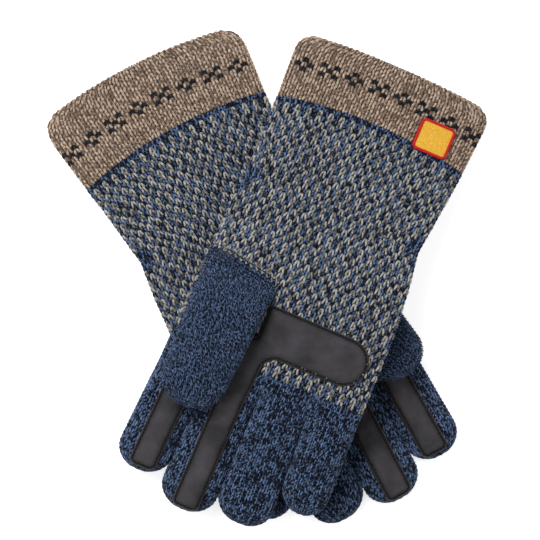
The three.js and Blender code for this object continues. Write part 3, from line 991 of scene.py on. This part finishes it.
def knit_finger(glove, name):
    knitting = Knitting(glove)
    a = wales(FINGER_WALES)
    plain = np.zeros(FINGER_WALES)
    places = finger_stations(glove, name, PATTERN_END + 1.2, FINGER_COURSE)
    for top in (True, False):
        surface = lambda x, y: finger_point(glove, name, x, y, top, STITCH_INSET)
        flat, flip = (FINGER_FLAT, 0 if top else FINGER_BACK), facing(glove, top)
        for v, step in zip(places, np.diff(places)):
            knitting.course(surface, a, v, step, plain, 2 / FINGER_WALES, flat, PLAIN_GROWS, flip)
    return set_out(glove.name(f"{name}_knit"), knitting.done(), STITCH, PLAIN)


def finger_skins(glove, name, start, count, insets):
    places = finger_stations(glove, name, start, RING_PITCH)
    point = lambda glove, a, v, top, inset: finger_point(glove, name, a, v, top, inset)
    return skins(glove, point, places, count, insets)


def thumb_surface(glove, inset):
    length = glove.thumb_tip[1] - THUMB["root"]
    return lambda turn, v: thumb_point(glove, turn, (v - THUMB["root"]) / length, inset)


def thumb_stations(glove, start, pitch):
    surface = thumb_surface(glove, STITCH_INSET)
    length = glove.thumb_tip[1] - THUMB["root"]
    top = np.array([0.25])
    return stations(lambda v: surface(top, v)[0], start, THUMB["root"] + length * THUMB_TIP, pitch)


def knit_thumb(glove):
    """The thumb's first course is grey on its top side."""
    knitting = Knitting(glove)
    turn = np.arange(THUMB_WALES) / THUMB_WALES
    surface = thumb_surface(glove, STITCH_INSET)
    places = thumb_stations(glove, THUMB["root"] + 0.6, FINGER_COURSE)
    flat, flip = (THUMB_FLAT, 0), glove.mirror
    for row, (v, step) in enumerate(zip(places, np.diff(places))):
        grey = (row == 0) & (turn > 0.02) & (turn < 0.48)
        knitting.course(surface, turn, v, step, grey * 1.0, 1 / THUMB_WALES, flat, PLAIN_GROWS, flip)
    return set_out(glove.name("thumb_knit"), knitting.done(), STITCH, PLAIN)


def thumb_skins(glove, insets):
    turn = np.arange(THUMB_ROUND) / THUMB_ROUND
    places = thumb_stations(glove, THUMB["root"] + 0.4, RING_PITCH)
    surfaces = [thumb_surface(glove, inset) for inset in insets]
    return [[surface(turn, v) for v in places] for surface in surfaces]


# ---------------------------------------------------------------- leather
def palm_top(glove, name, u, v):
    """Height of the knitting on the palm's side, along one finger and the palm behind it."""
    hand = palm_height(glove, u, v)
    middle, half, shrink = glove.finger(name, v)
    rise = thickness(np.minimum(v, glove.hinge(name))) / 2
    finger = rise + puff(u - middle, np.maximum(half, 0.5), rise * shrink ** TIP_THINS)
    return hand + (finger - hand) * smooth(ROOT_FROM, ROOT_TO, v)


def arc(centre, radius, start, stop, steps=5):
    angle = np.radians(np.linspace(start, stop, steps + 1))
    return [(centre[0] + radius * math.cos(t), centre[1] + radius * math.sin(t)) for t in angle]


def evenly(outline, pitch):
    """A closed outline with its points one pitch apart."""
    outline = np.asarray(outline, float)
    closed = np.concatenate([outline, outline[:1]])
    run = running(closed)
    places = np.linspace(0, run[-1], max(8, round(run[-1] / pitch)), endpoint=False)
    return np.stack([np.interp(places, run, closed[:, k]) for k in range(2)], 1)


def inwards(outline, depth):
    """A closed outline moved in along its own normals."""
    ahead = np.roll(outline, -1, 0) - np.roll(outline, 1, 0)
    normal = unit(np.stack([-ahead[:, 1], ahead[:, 0]], 1))
    x, y = outline.T
    area = np.sum(x * np.roll(y, -1) - y * np.roll(x, -1))
    return outline + normal * depth * (1 if area > 0 else -1)


def distance_to(points, outline):
    edge = np.roll(outline, -1, 0) - outline
    offset = points[:, None] - outline[None]
    part = np.clip((offset * edge).sum(2) / (edge * edge).sum(1), 0, 1)
    return np.linalg.norm(offset - part[..., None] * edge, axis=2).min(1)


def inside(points, outline):
    x, y = points[:, :1], points[:, 1:]
    x0, y0 = outline.T
    x1, y1 = np.roll(outline, -1, 0).T
    crosses = (y0 > y) != (y1 > y)
    at = (x1 - x0) * (y - y0) / np.where(y1 == y0, 1e-9, y1 - y0) + x0
    return (crosses & (x < at)).sum(1) % 2 == 1


EDGE_RINGS = (0.3, 0.8, 1.2, 1.6, 2.1, 3.0)  # extra rings of points, this far in from a sheet's edge
GRID = (1.5, 1.3)


def sheet_on(glove, name, outline, surface, profile, material, pitch=1.1):
    """A thin closed sheet on the knitting. profile(d, u, v) is its thickness, d from its edge."""
    outline = evenly(outline, pitch)
    low, high = outline.min(0), outline.max(0)
    u, v = np.meshgrid(*[np.arange(low[k], high[k], GRID[k]) for k in range(2)])
    u = u + (np.arange(len(u)) % 2)[:, None] * GRID[0] / 2
    grid = np.stack([u.ravel(), v.ravel()], 1)
    grid = grid[inside(grid, outline)]
    grid = grid[distance_to(grid, outline) > EDGE_RINGS[-1] + 0.5]
    rings = []
    for depth in EDGE_RINGS:
        ring = inwards(outline, depth)
        rings.append(ring[(distance_to(ring, outline) > depth * 0.9) & inside(ring, outline)])
    points = np.concatenate([outline, *rings, grid])
    count = len(outline)
    edges = [(i, (i + 1) % count) for i in range(count)]
    found = delaunay_2d_cdt([tuple(p) for p in points], edges, [], 1, 1e-4)
    flat = np.array([tuple(p) for p in found[0]])
    faces = [tuple(f) for f in found[2]]
    depth = distance_to(flat, outline)
    top = surface(*flat.T)
    upper = np.column_stack([flat, top + profile(depth, *flat.T)])
    lower = np.column_stack([flat, top])
    total = len(flat)
    walls = [(a, b, b + total, a + total) for a, b in rim_of(faces)]
    faces = [tuple(reversed(f)) for f in faces] + [tuple(k + total for k in f) for f in faces] + walls
    placed = glove.place(np.concatenate([lower, upper]))
    piece = mesh_object(name, placed, outwards(placed, faces), material)
    set_attribute(piece.data, "rim", np.tile(1 - smooth(0.0, 0.35, depth), 2))
    # edge carries painted shade for the leather: full at the sheet's edge and gone 4.2 mm in.
    set_attribute(piece.data, "edge", np.tile(1 - smooth(0.8, 4.2, depth), 2))
    set_attribute(piece.data, "weave", np.tile(np.column_stack([flat, 0 * depth]), (2, 1)))
    return piece


def rim_of(faces):
    """The directed edges that only one face has."""
    edges = {(f[i], f[(i + 1) % len(f)]) for f in faces for i in range(len(f))}
    return [(a, b) for a, b in edges if (b, a) not in edges]


LEATHER_THICK = 0.9
LEATHER_LIFT = 0.15  # of its underside off the knitting
SEAM_INSET = 1.4
SEAM_LIFT = 0.12  # of the thread's middle off the leather


def leather_profile(folds):
    """Padded leather, pressed down along its seam, with soft cross folds at the given places."""
    def profile(depth, u, v):
        thick = LEATHER_THICK * (0.75 + 0.55 * smooth(1.6, 6.5, depth))
        thick -= 0.42 * np.exp(-(((depth - SEAM_INSET) / 0.42) ** 2))
        thick -= 0.35 * (1 - smooth(0, 0.35, depth))
        for place, lean, wide, deep in folds:
            across = (v - place - lean * u) / wide
            shape = np.exp(-(across - 1.6) ** 2) - np.exp(-across ** 2)
            thick += deep * shape * smooth(1.5, 3.5, depth)
        return np.maximum(thick, 0.15)
    return profile


def sewing(glove, name, outline, surface, profile, inset, pitch, size, form, material):
    """A line of sewing along an outline, a little in from its edge."""
    outline = evenly(outline, 1.0)
    line = evenly(inwards(outline, inset), pitch)
    line = line[distance_to(line, outline) > inset * 0.85]

    def at(places):
        height = surface(*places.T) + profile(distance_to(places, outline), *places.T) + SEAM_LIFT
        return glove.place(np.column_stack([places, height]))

    across, fore = np.array([0.3, 0.0]), np.array([0.0, 0.3])
    lift = np.cross(at(line + across) - at(line - across), at(line + fore) - at(line - fore)) * glove.mirror
    ahead = at(np.roll(line, -1, 0)) - at(np.roll(line, 1, 0))
    count = len(line)
    knitting = Knitting(glove)
    knitting.add(at(line), lift, ahead, np.tile(np.array(size) * MM, (count, 1)), line.T, np.zeros(count))
    return set_out(name, knitting.done(), form, material, wobble=0.04)


BAND = {"low": -50.5, "high": 14.5, "from": 147.0, "to": 175.0, "fillet": 9.0}
STRIP_HALF = 8.0
STRIP_CORNER = 3.8
STRIP_START = {"low": 5.6, "high": 21.0, "from": 167.0}
STRIP_FROM = {"middle": 206.0, "index": 205.0}
STRIP_GAP = {"middle": 1.2, "index": 2.4}  # from a strip's end to the fingertip
STRIP_SHIFT = {  # how far each strip sits off its finger's middle
    "left": {"index": -1.8, "middle": 0.5},
    "right": {"index": -1.6, "middle": -1.2},
}


def strip(glove, name):
    """Down one side of a finger's strip, round its end and back."""
    shift = STRIP_SHIFT[glove.side][name]
    end = glove.tips[name][1] - STRIP_GAP[name]
    corner = end - STRIP_CORNER
    inner = STRIP_HALF - STRIP_CORNER
    places = np.linspace(STRIP_FROM[name], corner, 9)
    middles = glove.finger(name, places)[0] + shift
    middle = float(glove.finger(name, end)[0]) + shift
    left, right = [list(zip(middles + side * STRIP_HALF, places)) for side in (-1, 1)]
    left += arc((middle - inner, corner), STRIP_CORNER, 180, 90)
    return left + arc((middle + inner, corner), STRIP_CORNER, 90, 0) + right[::-1]


def palm_outline(glove):
    radius = (BAND["to"] - BAND["from"]) / 2
    middle = (BAND["to"] + BAND["from"]) / 2
    fillet = BAND["fillet"]
    outline = [(BAND["high"], BAND["from"])]
    outline += arc((BAND["low"] + radius, middle), radius, 270, 90, 14)
    outline += arc((STRIP_START["low"] - fillet, BAND["to"] + fillet), fillet, 270, 360, 8)
    outline += strip(glove, "middle")
    return outline + [(STRIP_START["high"], STRIP_START["from"] + 3), (BAND["high"], STRIP_START["from"])]


# Each fold's place on the strip, its lean, its width and its depth.
PALM_FOLDS = [(197, 0.3, 4.4, 0.9), (213, 0.2, 3.4, 1.0), (229, -0.15, 4.0, 1.1), (247, 0.1, 4.0, 0.6)]
INDEX_FOLDS = [(224, 0.1, 3.6, 0.8), (240, -0.1, 3.8, 0.6)]
DASH_SIZE = (1.0, 1.6, 0.8)
DASH_PITCH = 2.1

# ---------------------------------------------------------------- the label
LABEL = {"u": -34.4, "v": 24.0, "across": 10.5, "along": 9.5, "corner": 2.8, "thick": 0.6, "lift": 0.25}
OVERLOCK_SIZE = (0.95, 1.9, 1.3)
OVERLOCK_PITCH = 0.62


def label_outline(inset):
    across, down, radius = [LABEL[key] - inset for key in ("across", "along", "corner")]
    outline = []
    for x, y, start in ((1, -1, 270), (1, 1, 0), (-1, 1, 90), (-1, -1, 180)):
        centre = (LABEL["u"] + x * (across - radius), LABEL["v"] + y * (down - radius))
        outline += arc(centre, radius, start, start + 90)
    return outline


# ---------------------------------------------------------------- the pair
BEND = 11.0  # half the length of cloth at a knuckle, from which the two places passed to follow are set
BEND_HEIGHT = 14.0


def stands_for(piece, glove, *solids):
    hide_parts(*[glove.name(solid) for solid in solids])


def follow(piece, glove, tip, start, end):
    """Bakes a piece's placing into its mesh, without bending it between the hand and the finger or thumb.
    tip is not used, and the two places on the glove (start, end) are worked out but not used.
    """
    a, b = glove.place([start, end])
    glove.name("hand")
    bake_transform(piece)


def bend(piece, glove, name):
    """Attaches a finger's piece to the hand when the model has no body for the finger; otherwise only bakes
    its placing into its mesh, without bending it at its knuckle or the fork.
    """
    split = name in glove.splits
    body = glove.name(f"{name}_tip" if split else name)
    if body not in frame["bodies"]:
        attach(piece, glove.name("hand"))
        return
    hinge = glove.hinge(name)
    middle = float(glove.finger(name, hinge)[0])
    start = hinge - (BEND if split else 0)
    follow(piece, glove, body, (middle, start, BEND_HEIGHT), (middle, start + 2 * BEND, BEND_HEIGHT))


def ride_hand(glove, made):
    """Fixes pieces to the hand. Each has its slot and the solid that it stands for, if any; the slot is not
    used.
    """
    for piece, slot, *solid in made:
        if solid:
            stands_for(piece, glove, *solid)
        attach(piece, glove.name("hand"))


def make_hand(glove):
    ride_hand(glove, [
        (knit_hand(glove, True), "patterned_knit", "hand_shell"),
        (knit_hand(glove, False), "patterned_knit"),
        (hand_cloth(glove), "patterned_knit"),
        (hand_fleece(glove), "lining", "hand_lining"),
        (knit_cuff(glove), "cuff_knit", "cuff_band"),
        (cuff_cloth(glove), "cuff_knit", "cuff_hem"),
    ])


def make_finger(glove, name):
    outer, inner = finger_skins(glove, name, PATTERN_END - 1, FINGER_SIDE, CLOTH_SKINS)
    wall = cloth(glove, f"{name}_cloth", outer, inner, BLUE_GAP_SHADE, True)
    outer, inner = finger_skins(glove, name, FORK + 1, LINING_SIDE, FLEECE_SKINS)
    lining = fleece(glove, f"{name}_fleece", outer, inner, True)
    knit = knit_finger(glove, name)
    parts = (f"{name}_base", f"{name}_tip") if name in glove.splits else (name,)
    stands_for(knit, glove, *[f"{part}_shell" for part in parts])
    stands_for(lining, glove, *[f"{part}_lining" for part in parts])
    for piece, slot in ((knit, "plain_knit"), (wall, "plain_knit"), (lining, "lining")):
        bend(piece, glove, name)


def make_thumb(glove):
    knit = knit_thumb(glove)
    wall = cloth(glove, "thumb_cloth", *thumb_skins(glove, CLOTH_SKINS), BLUE_GAP_SHADE, True)
    lining = fleece(glove, "thumb_fleece", *thumb_skins(glove, FLEECE_SKINS), True)
    stands_for(knit, glove, "thumb_shell")
    stands_for(lining, glove, "thumb_lining")
    start = (THUMB["middle"], THUMB["root"] - 1, HAND_THICK)
    end = (THUMB["middle"], THUMB["root"] + 24, HAND_THICK)
    for piece, slot in ((knit, "plain_knit"), (wall, "plain_knit"), (lining, "lining")):
        follow(piece, glove, glove.name("thumb"), start, end)


def make_leather(glove):
    """The palm's band with its strip down the middle finger, and the strip on the index finger."""
    for part, name, base, outline, folds in (
        ("palm", "middle", "palm", palm_outline(glove), PALM_FOLDS),
        ("index", "index", "index_base", strip(glove, "index"), INDEX_FOLDS),
    ):
        surface = lambda u, v: palm_top(glove, name, u, v) + LEATHER_LIFT
        profile = leather_profile(folds)
        grip = sheet_on(glove, glove.name(f"{part}_grip"), outline, surface, profile, LEATHER)
        seam = sewing(
            glove, glove.name(f"{part}_seam"), outline, surface, profile,
            SEAM_INSET, DASH_PITCH, DASH_SIZE, DASH, SEWING,
        )
        for piece, slot in ((grip, "leather"), (seam, "thread")):
            stands_for(piece, glove, f"{base}_{slot}", f"{name}_tip_{slot}")
            bend(piece, glove, name)


def make_label(glove):
    surface = lambda u, v: palm_height(glove, u, v) + LABEL["lift"]
    flat = lambda depth, u, v: LABEL["thick"] + 0 * depth
    low = lambda depth, u, v: LABEL["thick"] * 0.6 + 0 * depth
    ribbon = sheet_on(glove, glove.name("label_ribbon"), label_outline(0.8), surface, flat, RIBBON, 0.9)
    border = sewing(
        glove, glove.name("label_overlock"), label_outline(0), surface, low,
        0.9, OVERLOCK_PITCH, OVERLOCK_SIZE, OVERLOCK_FORM, OVERLOCK,
    )
    ride_hand(glove, [(ribbon, "label_cloth", "label_cloth"), (border, "label_border", "label_border")])


for glove in GLOVES:
    make_hand(glove)
    make_thumb(glove)
    for finger in FINGERS:
        make_finger(glove, finger)
    make_leather(glove)
make_label(GLOVES[1])

for form in (STITCH, ROUND_STITCH, CUFF_STITCH, DASH, OVERLOCK_FORM):
    bpy.data.objects.remove(form)


# ---------------------------------------------------------------- floor, light and camera
def lamp(name, place, size, power):
    data = bpy.data.lights.new(name, "AREA")
    data.size = size
    data.energy = power
    light = new_object(name, data)
    light.location = place
    light.rotation_euler = (-light.location).to_track_quat("-Z", "Y").to_euler()


def studio():
    paper = Principled("white paper", {
        "Base Color": (0.94, 0.94, 0.94, 1), "Roughness": 0.9,
        "Emission Color": (1, 1, 1, 1), "Emission Strength": 0.62,
    })
    paper = paper.done({}, paper.noise(paper.place(), 300.0), 0.05, 0.0005)
    floor = mesh_object("floor", [(-4, -4, 0), (4, -4, 0), (4, 4, 0), (-4, 4, 0)], [(0, 1, 2, 3)], paper)
    floor.location.z = -0.0008
    world = bpy.data.worlds.new("soft room")
    bpy.context.scene.world = world
    world.use_nodes = True
    background = world.node_tree.nodes["Background"].inputs
    background["Color"].default_value = (1, 1, 1, 1)
    background["Strength"].default_value = 0.3
    lamp("overhead softbox", (-0.45, 0.6, 1.1), 0.7, 17)
    lamp("right softbox", (0.9, -0.1, 0.8), 0.8, 3.5)
    lamp("left softbox", (-0.9, -0.2, 0.8), 0.8, 3.5)


VIEW_CENTRE = (0.00177, 0.00410)
VIEW_ACROSS = 0.3105
VIEW_HEIGHT = 3.0


def look_down():
    data = bpy.data.cameras.new("camera")
    data.sensor_width = 36
    data.lens = data.sensor_width * VIEW_HEIGHT / VIEW_ACROSS
    camera = new_object("camera", data)
    camera.location = (*VIEW_CENTRE, VIEW_HEIGHT)
    bpy.context.scene.camera = camera


studio()
look_down()
bpy.context.scene.view_settings.view_transform = "Standard"
